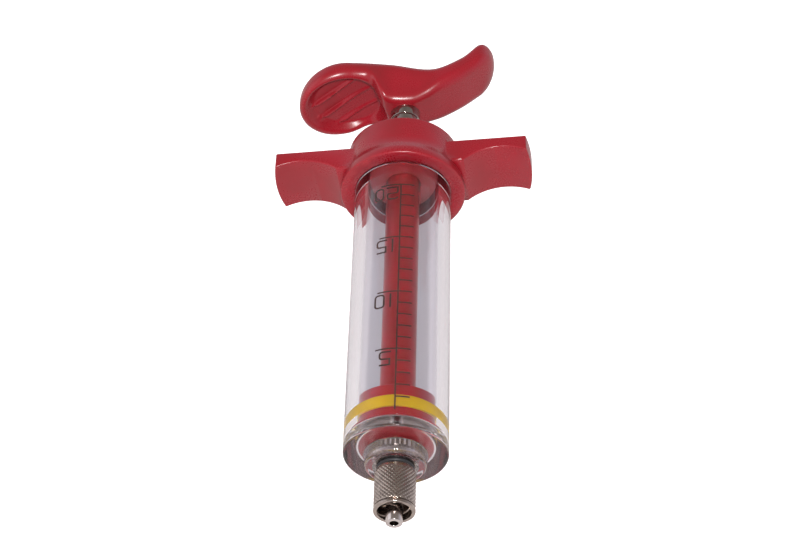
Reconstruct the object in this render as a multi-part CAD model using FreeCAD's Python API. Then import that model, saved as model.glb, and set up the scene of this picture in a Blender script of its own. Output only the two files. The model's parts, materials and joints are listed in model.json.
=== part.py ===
import FreeCAD, Part
import math
import os

from FreeCAD import Placement, Rotation, Vector

# Reusable syringe, 20 ml, lying on its barrel, its cap rim and one finger wing.
# Every piece is drawn upright on the Z axis, with the barrel's front face at height 0,
# the nozzle below it and the handle above it. One placement then lays the whole syringe down.
# All sizes are in millimetres.

# Barrel: its bore holds 20 ml over the length of the scale
bore_radius = 9.45
scale_length = 71.3
barrel_radius = 12.75
neck_radius = 12.35
neck_below_cap = 0.1
floor_thickness = 4.4
boss_radius = 7.7
boss_end_radius = 7.35
boss_length = 3.4
boss_edge_round = 0.7
edge_round = 0.5
fluid_hole_radius = 1.05

# Clearances and fits
running_fit = 0.07
slip_gap = 0.3
press_gap = 0.01

# Metal insert in the barrel's boss
insert_depth = 2.3
insert_body_radius = 5.0
tooth_height = 0.55
tooth_count = 40
toothed_length = 1.5
spigot_radius = 2.5
spigot_length = 4.4
spigot_end_gap = 0.4

# Nozzle with its lock collar
seal_thickness = 0.8
seal_radius = 4.6
collar_radius = 5.0
collar_length = 11.6
collar_back_wall = 1.0
collar_mouth_radius = 4.1
collar_shoulder_round = 1.0
collar_rim_length = 0.7
collar_groove_depth = 0.25
collar_groove_width = 0.3
flange_radius = 3.8
flange_thickness = 2.8
cone_reach = 3.1
cone_tip_radius = 1.98
cone_taper = 0.03
cone_tip_round = 0.25

# Piston
piston_rest_gap = 0.35
stroke_reserve = 0.95
disc_gap = 0.25
front_plate_thickness = 2.4
ring_height = 3.2
ring_seat_radius = 6.0
ring_lip_height = 0.5
ring_lip_depth = 0.35
stem_disc_thickness = 3.4
stem_radius = 4.4
stem_above_cap = 9.8
spindle_radius = 2.0
plate_insert_radius = 3.2
plate_insert_length = 1.7
spindle_end_gap = 0.5
thrust_washer_thickness = 0.4

# Cap with finger wings
cap_skirt_length = 9.4
cap_rim_radius = 16.6
cap_rim_height = 2.0
cap_waist_radius = 15.1
cap_waist_height = 5.4
cap_top_radius = 14.8
cap_roof_thickness = 2.2
cap_top_round = 0.8
cap_mouth_chamfer = 0.75
wing_reach = 34.5
wing_depth = 16.2
wing_below_top = 3.75
wing_tip_thickness = 5.85
wing_waist_thickness = 3.45
wing_waist_place = 26.3
wing_root_thickness = 7.1
wing_root_place = 17.0
wing_edge_round = 0.4
gasket_thickness = 1.0
gasket_inset = 0.3
bush_flange_thickness = 2.0
bush_flange_inset = 0.5
bush_plug_length = 7.4
bush_neck_radius = 6.4
bush_neck_rise = 0.4

# Handle and the metal ferrule under it
ferrule_radius = 4.1
ferrule_visible = 5.1
ferrule_socket = 5.5
handle_boss_radius = 5.6
handle_height = 11.4
nut_radius = 3.6
nut_thickness = 2.4
lobe_centre = -17.6
lobe_radius = 11.9
lobe_drop = 4.2
lobe_thickness = 4.3
arm_half_depth = 6.8
arm_end = 24.6
arm_bow = 2.6
arm_rise = 10.4
arm_end_thickness = 4.2
handle_edge_round = 1.0
recess_depth = 1.6
recess_wall = 2.3
grip_rib_count = 3
grip_rib_spacing = 5.2
grip_rib_width = 1.3
grip_rib_height = 1.1

# Heights and radii that follow from the sizes above
insert_crest_radius = insert_body_radius + tooth_height
collar_back = -boss_length - seal_thickness
collar_front = collar_back - collar_length
flange_back = collar_back - collar_back_wall
flange_front = flange_back - flange_thickness
cone_tip = collar_front - cone_reach
spigot_end = collar_back + spigot_length + seal_thickness
piston_front = floor_thickness + piston_rest_gap
ring_bottom = piston_front + front_plate_thickness
ring_top = ring_bottom + ring_height
stem_disc_top = ring_top + stem_disc_thickness
disc_radius = bore_radius - disc_gap
stroke = scale_length + stroke_reserve
bush_plug_bottom = stem_disc_top + stroke
barrel_length = bush_plug_bottom + bush_plug_length
cap_bottom_height = barrel_length - cap_skirt_length
neck_start = cap_bottom_height - neck_below_cap
gasket_top = barrel_length + gasket_thickness
roof_height = gasket_top + bush_flange_thickness
cap_top_height = roof_height + cap_roof_thickness
cap_bore_radius = neck_radius + running_fit
stem_top = cap_top_height + stem_above_cap
ferrule_bottom = stem_top + thrust_washer_thickness
handle_bottom = ferrule_bottom + ferrule_visible
ferrule_top = handle_bottom + ferrule_socket
handle_top = handle_bottom + handle_height
nut_top = ferrule_top + nut_thickness


def revolved(outline):
    """Turn an outline of (radius, height) points round the Z axis."""
    points = [Vector(radius, 0, height) for radius, height in outline]
    face = Part.Face(Part.makePolygon(points + points[:1]))
    return face.revolve(Vector(0, 0, 0), Vector(0, 0, 1), 360)


def tube(outer, inner, bottom, top):
    """Plain ring or tube between two heights."""
    return revolved([(inner, bottom), (outer, bottom), (outer, top), (inner, top)])


def rod(radius, bottom, top):
    return Part.makeCylinder(radius, top - bottom, Vector(0, 0, bottom))


def round_circles(shape, radius, circles):
    """Round the full circular edges that have one of the given (radius, height) pairs."""
    edges = []
    for edge in shape.Edges:
        curve = edge.Curve
        if not isinstance(curve, Part.Circle) or not edge.isClosed():
            continue
        if any(abs(curve.Radius - r) < 1e-4 and abs(curve.Center.z - z) < 1e-4 for r, z in circles):
            edges.append(edge)
    return shape.makeFillet(radius, edges)


def barrel():
    """Clear moulding: tube, neck for the cap, floor and the boss that holds the metal insert."""
    cavity = insert_crest_radius + press_gap
    body = revolved([
        (fluid_hole_radius, insert_depth),
        (cavity, insert_depth),
        (cavity, -boss_length),
        (boss_end_radius, -boss_length),
        (boss_radius, 0),
        (barrel_radius, 0),
        (barrel_radius, neck_start),
        (neck_radius, neck_start),
        (neck_radius, barrel_length),
        (bore_radius, barrel_length),
        (bore_radius, floor_thickness),
        (fluid_hole_radius, floor_thickness),
    ])
    body = round_circles(body, boss_edge_round, [(boss_end_radius, -boss_length)])
    return round_circles(body, edge_round, [(barrel_radius, 0), (bore_radius, floor_thickness)])


def toothed_disc(root, crest, count, bottom, top):
    """Disc with straight pointed teeth round its edge."""
    points = []
    for step in range(2 * count):
        radius = crest if step % 2 == 0 else root
        angle = math.pi * step / count
        points.append(Vector(radius * math.cos(angle), radius * math.sin(angle), bottom))
    face = Part.Face(Part.makePolygon(points + points[:1]))
    return face.extrude(Vector(0, 0, top - bottom))


def nozzle_insert():
    """Threaded metal bush moulded into the boss, with a toothed band that stops it turning."""
    band_bottom = insert_depth - toothed_length
    body = rod(insert_body_radius, -boss_length, band_bottom)
    band = toothed_disc(insert_body_radius, insert_crest_radius, tooth_count, band_bottom, insert_depth)
    foot = rod(insert_crest_radius, -boss_length, -boss_length + toothed_length / 2)
    socket = rod(spigot_radius + running_fit, -boss_length, spigot_end + spigot_end_gap)
    hole = rod(fluid_hole_radius, -boss_length, insert_depth)
    return body.fuse([band, foot]).cut([socket, hole]).removeSplitter()


def nozzle_seal():
    return tube(seal_radius, spigot_radius + running_fit, collar_back, -boss_length)


def luer_cone():
    """Turned nozzle: threaded spigot, flange and tapered cone with the fluid hole through it."""
    cone_base_radius = cone_tip_radius + cone_taper * (flange_front - cone_tip)
    body = revolved([
        (fluid_hole_radius, cone_tip),
        (cone_tip_radius, cone_tip),
        (cone_base_radius, flange_front),
        (flange_radius, flange_front),
        (flange_radius, flange_back),
        (spigot_radius, flange_back),
        (spigot_radius, spigot_end),
        (fluid_hole_radius, spigot_end),
    ])
    return round_circles(body, cone_tip_round, [(cone_tip_radius, cone_tip)])


def lock_collar():
    """Sleeve round the cone, open at the front, with a back wall that the flange is pressed against."""
    groove_back = collar_front + collar_rim_length + collar_groove_width
    groove_front = collar_front + collar_rim_length
    neck = collar_radius - collar_groove_depth
    body = revolved([
        (spigot_radius + press_gap, flange_back),
        (flange_radius + press_gap, flange_back),
        (flange_radius + press_gap, flange_front),
        (collar_mouth_radius, flange_front),
        (collar_mouth_radius, collar_front),
        (collar_radius, collar_front),
        (collar_radius, groove_front),
        (neck, groove_front),
        (neck, groove_back),
        (collar_radius, groove_back),
        (collar_radius, collar_back),
        (spigot_radius + press_gap, collar_back),
    ])
    body = round_circles(body, collar_shoulder_round, [(collar_radius, collar_back)])
    return round_circles(body, collar_rim_length / 3, [(collar_radius, collar_front)])


def guide_bush():
    """Flanged bush that guides the stem: its plug hangs in the bore and stops the piston."""
    plug = bore_radius - slip_gap
    flange = cap_bore_radius - bush_flange_inset
    return revolved([
        (stem_radius + running_fit, bush_plug_bottom),
        (plug, bush_plug_bottom),
        (plug, gasket_top),
        (flange, gasket_top),
        (flange, roof_height),
        (bush_neck_radius, roof_height),
        (bush_neck_radius, cap_top_height + bush_neck_rise),
        (stem_radius + running_fit, cap_top_height + bush_neck_rise),
    ])


def cap_gasket():
    return tube(neck_radius - gasket_inset, bore_radius, barrel_length, gasket_top)


def wing(side):
    """One finger wing: flat on top, hollowed underneath for a finger, with its end on an arc."""
    top = cap_top_height - wing_below_top
    tip = wing_reach + wing_edge_round
    outer = Vector(side * tip, 0, top - wing_tip_thickness)
    waist = Vector(side * wing_waist_place, 0, top - wing_waist_thickness)
    root = Vector(side * wing_root_place, 0, top - wing_root_thickness)
    inner = Vector(side * cap_bore_radius / 2, 0, root.z)
    edges = [
        Part.makeLine(Vector(inner.x, 0, top), Vector(side * tip, 0, top)),
        Part.makeLine(Vector(side * tip, 0, top), outer),
        Part.Arc(outer, waist, root).toShape(),
        Part.makeLine(root, inner),
        Part.makeLine(inner, Vector(inner.x, 0, top)),
    ]
    face = Part.Face(Part.Wire(Part.__sortEdges__(edges)))
    face.translate(Vector(0, -wing_depth / 2, 0))
    blade = face.extrude(Vector(0, wing_depth, 0)).common(rod(wing_reach, root.z - 1, top + 1))
    outside = [
        edge for edge in blade.Edges
        if side * edge.CenterOfMass.x > cap_rim_radius
    ]
    return blade.makeFillet(wing_edge_round, outside)


def grip_cap():
    """Screw cap with a flared rim and two finger wings, moulded in one piece."""
    body = revolved([
        (0, cap_bottom_height),
        (cap_rim_radius, cap_bottom_height),
        (cap_rim_radius, cap_bottom_height + cap_rim_height),
        (cap_waist_radius, cap_bottom_height + cap_waist_height),
        (cap_top_radius, cap_top_height),
        (0, cap_top_height),
    ])
    body = round_circles(body, edge_round, [(cap_rim_radius, cap_bottom_height)])
    body = round_circles(body, cap_top_round, [(cap_top_radius, cap_top_height)])
    body = body.fuse([wing(-1), wing(1)])
    mouth_radius = cap_bore_radius + cap_mouth_chamfer
    hollow = revolved([
        (0, cap_bottom_height),
        (mouth_radius, cap_bottom_height),
        (cap_bore_radius, cap_bottom_height + cap_mouth_chamfer),
        (cap_bore_radius, roof_height),
        (0, roof_height),
    ])
    stem_hole = rod(bush_neck_radius + running_fit, roof_height, cap_top_height)
    return body.cut([hollow, stem_hole])


def plunger_stem():
    """Stem with the disc that backs the piston ring and the seat that carries it."""
    hole = spindle_radius + running_fit
    return revolved([
        (hole, ring_bottom),
        (ring_seat_radius, ring_bottom),
        (ring_seat_radius, ring_top),
        (disc_radius, ring_top),
        (disc_radius, stem_disc_top),
        (stem_radius, stem_disc_top),
        (stem_radius, stem_top),
        (hole, stem_top),
    ])


def piston_ring():
    """Seal ring with a wiping lip at each end."""
    outer = bore_radius - running_fit
    waist = outer - ring_lip_depth
    return revolved([
        (ring_seat_radius, ring_bottom),
        (outer, ring_bottom),
        (outer, ring_bottom + ring_lip_height),
        (waist, ring_bottom + 2 * ring_lip_height),
        (waist, ring_top - 2 * ring_lip_height),
        (outer, ring_top - ring_lip_height),
        (outer, ring_top),
        (ring_seat_radius, ring_top),
    ])


def front_plate():
    """Plate that the spindle draws against the ring."""
    seat = ring_bottom - plate_insert_length
    return revolved([
        (0, piston_front),
        (disc_radius, piston_front),
        (disc_radius, ring_bottom),
        (plate_insert_radius, ring_bottom),
        (plate_insert_radius, seat),
        (0, seat),
    ])


def plate_insert():
    """Threaded bush in the front plate, which takes the spindle's end."""
    return tube(plate_insert_radius, spindle_radius + running_fit, ring_bottom - plate_insert_length, ring_bottom)


def spindle():
    """Steel rod from the front plate's bush up to the nut in the handle."""
    return rod(spindle_radius, ring_bottom - plate_insert_length + spindle_end_gap, nut_top)


def thrust_washer():
    return tube(ferrule_radius, spindle_radius + running_fit, stem_top, ferrule_bottom)


def ferrule():
    """Polished sleeve between the stem and the handle."""
    return tube(ferrule_radius, spindle_radius, ferrule_bottom, ferrule_top)


def nut_outline(radius, bottom, top):
    points = []
    for corner in range(6):
        angle = math.pi * corner / 3
        points.append(Vector(radius * math.cos(angle), radius * math.sin(angle), bottom))
    return Part.Face(Part.makePolygon(points + points[:1])).extrude(Vector(0, 0, top - bottom))


def handle_nut():
    """Hexagon nut moulded into the handle, on the spindle's threaded end."""
    return nut_outline(nut_radius, ferrule_top, nut_top).cut(rod(spindle_radius, ferrule_top, nut_top))


def lobe_underside():
    """Curve of the lobe's lower side, from the boss out to the left."""
    curve = Part.BSplineCurve()
    curve.interpolate([
        Vector(1.8 - handle_boss_radius, 0, handle_bottom),
        Vector(-7.6, 0, handle_top - 6.2),
        Vector(-11, 0, handle_top - 5.0),
        Vector(-18, 0, handle_top - 5.6),
        Vector(lobe_centre - lobe_radius - 2, 0, handle_top - lobe_drop - lobe_thickness),
    ])
    return curve.toShape()


def handle_side_profile():
    """Side view of the handle: drooping lobe on the left, boss in the middle, raised arm on the right."""
    under_lobe = lobe_underside()
    left = lobe_centre - lobe_radius - 2
    top = Part.BSplineCurve()
    top.interpolate([
        Vector(left, 0, handle_top - lobe_drop),
        Vector(-22, 0, handle_top - 1.9),
        Vector(-12, 0, handle_top - 0.3),
        Vector(-3, 0, handle_top),
        Vector(8.5, 0, handle_top - 1.1),
        Vector(16.5, 0, handle_top + 2.5),
        Vector(arm_end, 0, handle_top + arm_rise),
    ])
    under_arm = Part.BSplineCurve()
    under_arm.interpolate([
        Vector(arm_end, 0, handle_top + arm_rise - arm_end_thickness),
        Vector(16.5, 0, handle_top - 1.8),
        Vector(10, 0, handle_top - 7.0),
        Vector(handle_boss_radius, 0, handle_bottom + 1.6),
        Vector(handle_boss_radius - 1.8, 0, handle_bottom),
    ])
    edges = [
        top.toShape(),
        Part.makeLine(top.EndPoint, under_arm.StartPoint),
        under_arm.toShape(),
        Part.makeLine(under_arm.EndPoint, Vector(1.8 - handle_boss_radius, 0, handle_bottom)),
        under_lobe,
        Part.makeLine(Vector(left, 0, handle_top - lobe_drop - lobe_thickness), top.StartPoint),
    ]
    return Part.Face(Part.Wire(edges))


def handle_plan():
    """View of the handle from above: round lobe, waist and narrower arm with a bowed end."""
    lobe_end = Vector(lobe_centre + 4, math.sqrt(lobe_radius ** 2 - 16), 0)
    side_points = [
        lobe_end,
        Vector(-4, 9.4, 0),
        Vector(7, arm_half_depth + 0.2, 0),
        Vector(arm_end - arm_bow, arm_half_depth, 0),
    ]
    side = Part.BSplineCurve()
    side.interpolate(side_points)
    mirror = Part.BSplineCurve()
    mirror.interpolate([Vector(point.x, -point.y, 0) for point in reversed(side_points)])
    tip = Part.Arc(side.EndPoint, Vector(arm_end, 0, 0), mirror.StartPoint)
    lobe = Part.Arc(mirror.EndPoint, Vector(lobe_centre - lobe_radius, 0, 0), lobe_end)
    return Part.Face(Part.Wire([side.toShape(), tip.toShape(), mirror.toShape(), lobe.toShape()]))


def lobe_layer(low, high, breadth):
    """Layer that follows the lobe's lower side, between two distances above it."""
    lower = lobe_underside()
    lower.translate(Vector(0, -breadth / 2, low))
    upper = lobe_underside()
    upper.translate(Vector(0, -breadth / 2, high))
    ends = [
        Part.makeLine(lower.Vertexes[0].Point, upper.Vertexes[0].Point),
        Part.makeLine(lower.Vertexes[-1].Point, upper.Vertexes[-1].Point),
    ]
    face = Part.Face(Part.Wire(Part.__sortEdges__([lower, ends[0], upper, ends[1]])))
    return face.extrude(Vector(0, breadth, 0))


def lobe_recess():
    """Round hollow under the lobe with the ribs left standing in it."""
    centre = Vector(lobe_centre, 0, handle_bottom)
    round_post = Part.makeCylinder(lobe_radius - recess_wall, handle_height, centre)
    hollow = lobe_layer(-1, recess_depth, 2 * lobe_radius).common(round_post)
    for index in range(grip_rib_count):
        place = (index - (grip_rib_count - 1) / 2) * grip_rib_spacing
        rib = lobe_layer(recess_depth - grip_rib_height, recess_depth + 1, grip_rib_width)
        rib.translate(Vector(0, place, 0))
        hollow = hollow.cut(rib)
    return hollow


def handle():
    """Moulded palm handle."""
    depth = 2 * lobe_radius + 2
    profile = handle_side_profile()
    profile.translate(Vector(0, -depth / 2, 0))
    side_slab = profile.extrude(Vector(0, depth, 0))
    plan = handle_plan()
    plan.translate(Vector(0, 0, handle_bottom - 1))
    body = side_slab.common(plan.extrude(Vector(0, 0, handle_height + arm_rise + 2)))
    body = body.makeFillet(handle_edge_round, body.Edges)
    socket = rod(ferrule_radius, handle_bottom, ferrule_top)
    nut_seat = nut_outline(nut_radius, ferrule_top, nut_top)
    return body.cut([socket, nut_seat, lobe_recess()])


def lying_placement(shapes):
    """Lay the syringe on the barrel's front edge, the cap's rim and the left wing's tip."""
    pitch = math.atan((cap_rim_radius - barrel_radius) / cap_bottom_height)
    wing_bottom = cap_top_height - wing_below_top - wing_tip_thickness
    wing_corner = Vector(math.sqrt(wing_reach ** 2 - wing_depth ** 2 / 4), wing_depth / 2, 0)
    ground = barrel_radius + wing_bottom * math.tan(pitch)
    roll = math.asin(ground / wing_corner.Length) - math.atan2(wing_corner.y, wing_corner.x)
    upright_to_flat = Rotation(Vector(1, 0, 0), -90)
    rolled = Rotation(Vector(0, 1, 0), -math.degrees(roll))
    pitched = Rotation(Vector(1, 0, 0), math.degrees(pitch))
    turn = Placement(Vector(0, 0, 0), pitched.multiply(rolled).multiply(upright_to_flat))
    laid = Part.makeCompound([shape.transformed(turn.toMatrix()) for shape in shapes])
    box = laid.optimalBoundingBox(False)
    shift = Vector(-(box.XMin + box.XMax) / 2, -(box.YMin + box.YMax) / 2, -box.ZMin)
    return Placement(shift, turn.Rotation)


def build():
    return {
        "barrel": barrel(),
        "nozzle_insert": nozzle_insert(),
        "nozzle_seal": nozzle_seal(),
        "luer_cone": luer_cone(),
        "lock_collar": lock_collar(),
        "guide_bush": guide_bush(),
        "cap_gasket": cap_gasket(),
        "grip_cap": grip_cap(),
        "plunger_stem": plunger_stem(),
        "piston_ring": piston_ring(),
        "front_plate": front_plate(),
        "plate_insert": plate_insert(),
        "spindle": spindle(),
        "thrust_washer": thrust_washer(),
        "ferrule": ferrule(),
        "handle_nut": handle_nut(),
        "handle": handle(),
    }


pieces = build()
lying = lying_placement(list(pieces.values()))
os.makedirs("parts", exist_ok=True)
for name, shape in pieces.items():
    placed = shape.transformed(lying.toMatrix())
    placed.exportStep(os.path.join("parts", name + ".step"))
    print(name, "valid", placed.isValid(), "solids", len(placed.Solids), "volume", round(placed.Volume, 1))
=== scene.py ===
import json
from math import atan2, ceil, cos, hypot, pi, radians, sin, tan

import bmesh
import bpy
from mathutils import Matrix, Vector


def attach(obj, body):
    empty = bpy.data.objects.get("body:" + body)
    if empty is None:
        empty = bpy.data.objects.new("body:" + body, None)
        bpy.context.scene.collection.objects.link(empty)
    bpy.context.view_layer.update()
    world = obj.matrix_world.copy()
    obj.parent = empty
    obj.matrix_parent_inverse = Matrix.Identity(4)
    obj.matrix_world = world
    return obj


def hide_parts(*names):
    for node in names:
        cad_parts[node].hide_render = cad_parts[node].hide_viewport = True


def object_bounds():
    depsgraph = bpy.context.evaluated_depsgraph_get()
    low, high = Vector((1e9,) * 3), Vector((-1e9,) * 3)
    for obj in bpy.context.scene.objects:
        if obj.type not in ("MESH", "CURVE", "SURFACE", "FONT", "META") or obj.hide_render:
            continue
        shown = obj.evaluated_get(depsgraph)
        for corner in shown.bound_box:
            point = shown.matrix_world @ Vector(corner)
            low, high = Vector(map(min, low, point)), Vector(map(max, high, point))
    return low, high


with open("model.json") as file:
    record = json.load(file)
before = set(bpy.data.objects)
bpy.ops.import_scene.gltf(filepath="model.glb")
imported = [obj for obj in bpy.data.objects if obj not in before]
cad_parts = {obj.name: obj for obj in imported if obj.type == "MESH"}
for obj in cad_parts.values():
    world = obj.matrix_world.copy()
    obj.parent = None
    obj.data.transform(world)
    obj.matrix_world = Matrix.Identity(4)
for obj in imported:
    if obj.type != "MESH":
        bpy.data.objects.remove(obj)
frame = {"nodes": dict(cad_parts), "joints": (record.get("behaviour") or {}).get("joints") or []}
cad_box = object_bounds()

# The syringe is drawn upright in millimetres, as on the bench: the barrel's front face at height 0,
# the nozzle below it, the handle above it. One matrix lays each finished mesh where the syringe lies.
MM = 0.001
ROUND_STEP = radians(12)
TURNS = 160

# Barrel
boss_length = 3.4
boss_radius = 7.7
boss_end_radius = 7.35
boss_edge_round = 0.9
floor_thickness = 4.4
edge_round = 0.75
bore_edge_round = 0.6
passage_radius = 1.05
front_face_roughness = 0.2

# Piston and guide bush
stem_radius = 4.4
stem_bore_radius = 2.07
stem_disc_height = 3.37
ring_seat_radius = 6.0
ring_contact = 0.02
plate_pocket_radius = 3.2
plate_pocket_depth = 1.7
bush_clearance = 0.3
bush_flange_thickness = 2
bush_neck_radius = 6.4

# Nozzle
collar_back_wall = 1.0
flange_radius = 3.8
flange_thickness = 2.8
collar_mouth_radius = 4.1
collar_rim_length = 0.7
collar_groove_width = 0.45
collar_groove_depth = 0.5
knurl_depth = 0.2
knurl_seat_depth = 0.3
cone_tip_radius = 1.98
cone_taper = 0.03
spigot_radius = 2.5
spigot_clearance = 0.01
insert_cover = 1.2
insert_foot_height = 1.5
insert_hollow_top = 1.4
insert_tooth_length = 2.8
insert_tooth_height = 0.85
insert_teeth = 30

# Handle: places along the bench's X, heights above the barrel's front face
handle_top_line = [(-32, 121.2), (-22, 124.3), (-12, 126.0), (-3, 126.4), (8.5, 125.3), (16.5, 129.1),
                   (21.7, 134.2), (25, 135.6)]
handle_under_line = [(-32, 115.6), (-24, 117.4), (-18, 118.8), (-11, 120.0), (-8.2, 119.0), (-6.2, 115.4),
                     (-4.6, 113.9), (2.5, 113.9), (6.9, 115.6), (10.2, 117.4), (15.7, 120.8), (21, 125.2),
                     (25, 128.6)]
handle_side_line = [(-13.6, 11.42), (-4, 9.2), (7, 7.4), (14, 7.2), (20.4, 7.1)]
handle_rounding = [(-32, 2.1), (-18, 2.6), (-5, 2.9), (25, 2.9)]
lobe_centre = -17.6
lobe_radius = 12.1
lobe_joint = 4.0
arm_end = 24.8
recess_floor_line = [(-32, 117.6), (-18, 121.6), (-11, 122.7), (-3, 122.3)]
recess_middle = (-16.6, 0.4)
recess_half_length = 10.8
recess_half_breadth = 9.2
recess_turn = radians(28)
recess_wall_width = 2.8
grip_rib_spacing = 5.2
grip_rib_half_width = 0.9
grip_rib_height = 1.4
grip_rib_turn = radians(-27)
waist_taper = 0.22
ferrule_bead_height = 1.9
ferrule_bead_relief = 0.3

# Scale: printed marks on the barrel
scale_millilitres = 20
scale_step = 3.565
scale_turn = radians(-84.2)
mark_width = 0.42
digit_width = 0.48
print_rise = 0.012
print_depth = 0.02
digit_height = 3.9
digit_drop = 0.9
line_overrun = 0.2
short_mark = (0.0, 3.5)
long_mark = (-5.3, 3.5)
# Each number's digits with the distances of their near and far side from the line
scale_numbers = {
    20: (("2", 0.8, 3.5), ("0", 4.6, 6.8)),
    15: (("1", 1.2, 2.3), ("5", 3.4, 5.8)),
    10: (("1", 1.3, 2.4), ("0", 3.5, 5.8)),
    5: (("5", 1.5, 4.1),),
}

# Eye of the photograph, placed and aimed round the upright syringe
eye_place = (54.53, -370.82, -256.62)
eye_aim = (-0.19, 0, 55.17)
eye_roll = radians(1.595)
eye_lens = 85.504


def joint(name):
    return next(j for j in frame["joints"] if j["name"] == name)


def syringe_frame():
    """Matrix from the upright syringe in millimetres to the frame in metres."""
    along = Vector(joint("plunger_slide")["axis"]).normalized()
    base = Vector(joint("handle_turn")["pos_m"])
    side = Vector((1, 0, 0))
    side = (side - along * side.dot(along)).normalized()
    front = along.cross(side)
    wing_angles = []
    for vertex in frame["nodes"]["grip_cap"].data.vertices:
        place = vertex.co - base
        x, y = place.dot(side), place.dot(front)
        if x > 0 and hypot(x, y) > 30 * MM:
            wing_angles.append(atan2(y, x))
    roll = (min(wing_angles) + max(wing_angles)) / 2
    across = side * cos(roll) + front * sin(roll)
    depth = along.cross(across)
    lowest = min((vertex.co - base).dot(along) for vertex in frame["nodes"]["barrel"].data.vertices)
    origin = base + along * (lowest + boss_length * MM)
    axes = Matrix((across * MM, depth * MM, along * MM)).transposed()
    return Matrix.Translation(origin) @ axes.to_4x4()


LAID = syringe_frame()
UPRIGHT = LAID.inverted()


class Extent:
    """Heights and radii of one solid on the syringe's own axis, in millimetres."""

    def __init__(self, node):
        places = [UPRIGHT @ vertex.co for vertex in frame["nodes"][node].data.vertices]
        self.rims = [(hypot(place.x, place.y), place.z) for place in places]
        self.bottom = min(height for reach, height in self.rims)
        self.top = max(height for reach, height in self.rims)
        self.radius = max(reach for reach, height in self.rims)
        self.hole = min(reach for reach, height in self.rims)

    def radius_between(self, low, high):
        return max(reach for reach, height in self.rims if low < height < high)


barrel_size = Extent("barrel")
seal_size = Extent("nozzle_seal")
insert_size = Extent("nozzle_insert")
collar_size = Extent("lock_collar")
cone_size = Extent("luer_cone")
gasket_size = Extent("cap_gasket")
bush_size = Extent("guide_bush")
cap_size = Extent("grip_cap")
stem_size = Extent("plunger_stem")
ring_size = Extent("piston_ring")
plate_size = Extent("front_plate")
washer_size = Extent("thrust_washer")
ferrule_size = Extent("ferrule")

bore_radius = gasket_size.hole
barrel_radius = barrel_size.radius_between(-boss_length - 1, barrel_size.top / 2)
neck_radius = barrel_size.radius_between(barrel_size.top - 1, barrel_size.top + 1)


# Node trees

def add(tree, kind, inputs=None, **settings):
    """Add a node, set its properties, and set or link its inputs."""
    node = tree.nodes.new(kind)
    for name, value in settings.items():
        setattr(node, name, value)
    for name, value in (inputs or {}).items():
        socket = node.inputs[name]
        if isinstance(value, bpy.types.NodeSocket):
            tree.links.new(value, socket)
        else:
            socket.default_value = value
    return node


def maths(tree, operation, *values, clamp=False):
    inputs = dict(enumerate(values))
    return add(tree, "ShaderNodeMath", inputs, operation=operation, use_clamp=clamp).outputs[0]


def opaque(colour):
    return (*colour, 1) if isinstance(colour, tuple) else colour


def blend_colours(tree, share, first, second):
    inputs = {0: share, 6: opaque(first), 7: opaque(second)}
    return add(tree, "ShaderNodeMix", inputs, data_type="RGBA").outputs[2]


def ramp(tree, value, stops):
    """Colour ramp with (position, grey level) stops."""
    node = add(tree, "ShaderNodeValToRGB", {"Fac": value})
    elements = node.color_ramp.elements
    while len(elements) < len(stops):
        elements.new(1.0)
    for element, (position, level) in zip(elements, stops):
        element.position = position
        element.color = (level, level, level, 1)
    return node.outputs["Color"]


def laid_place(tree):
    return add(tree, "ShaderNodeTexCoord").outputs["Object"]


def upright_place(tree):
    """Place on the syringe turned upright, in metres."""
    turned_back = UPRIGHT.to_quaternion().to_matrix().to_4x4()
    return add(tree, "ShaderNodeMapping", {
        "Vector": laid_place(tree),
        "Location": turned_back @ -LAID.translation,
        "Rotation": turned_back.to_euler("XYZ"),
    }, vector_type="POINT").outputs["Vector"]


def split(tree, vector):
    return add(tree, "ShaderNodeSeparateXYZ", {"Vector": vector}).outputs


def combine(tree, x=0.0, y=0.0, z=0.0):
    return add(tree, "ShaderNodeCombineXYZ", {"X": x, "Y": y, "Z": z}).outputs["Vector"]


def noise(tree, place, size, detail):
    """Noise with grains of the given size."""
    return add(tree, "ShaderNodeTexNoise", {
        "Vector": place, "Scale": maths(tree, "DIVIDE", 1.0, size), "Detail": detail,
    }).outputs["Fac"]


def spread_about(tree, grain, breadth, middle):
    """A value that a noise varies about its middle."""
    return maths(tree, "MULTIPLY_ADD", maths(tree, "SUBTRACT", grain, 0.5), breadth, middle)


def group(name, inputs, outputs):
    """Empty shader group with named sockets: (name, kind, default) and (name, kind)."""
    tree = bpy.data.node_groups.new(name, "ShaderNodeTree")
    for label, kind, default in inputs:
        tree.interface.new_socket(label, in_out="INPUT", socket_type=kind).default_value = default
    for label, kind in outputs:
        tree.interface.new_socket(label, in_out="OUTPUT", socket_type=kind)
    return tree, tree.nodes.new("NodeGroupInput").outputs, tree.nodes.new("NodeGroupOutput").inputs


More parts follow.
